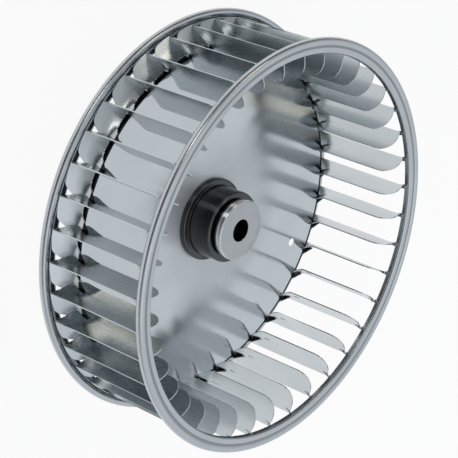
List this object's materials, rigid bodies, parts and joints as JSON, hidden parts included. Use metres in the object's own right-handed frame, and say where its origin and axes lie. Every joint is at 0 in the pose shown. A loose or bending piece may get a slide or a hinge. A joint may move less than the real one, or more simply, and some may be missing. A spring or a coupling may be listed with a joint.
{
  "type": "fan impeller",
  "caption": "Single-inlet centrifugal fan impeller: a lanced blade strip between two beaded end rings, on a flat disc with a turned hub.",
  "frame": {"origin": "on the shaft axis, in the plane that the rear ring stands on", "axes": "+Z along the shaft axis, from the rear ring towards the inlet"},
  "size_m": [0.22, 0.22, 0.07],
  "materials": {
    "ring_sheet": "bright zinc coated sheet, pressed and rolled",
    "strip_sheet": "bright zinc coated sheet, lanced",
    "disc_sheet": "bright zinc coated sheet, flat",
    "turned_steel": "turned bright steel, plated",
    "black_steel": "black oxide"
  },
  "bodies": {
    "root": {"rear_ring": "ring_sheet", "blade_strip": "strip_sheet", "front_ring": "ring_sheet", "centre_disc": "disc_sheet", "hub": "turned_steel", "grub_screw": "black_steel"}
  },
  "joints": []
}
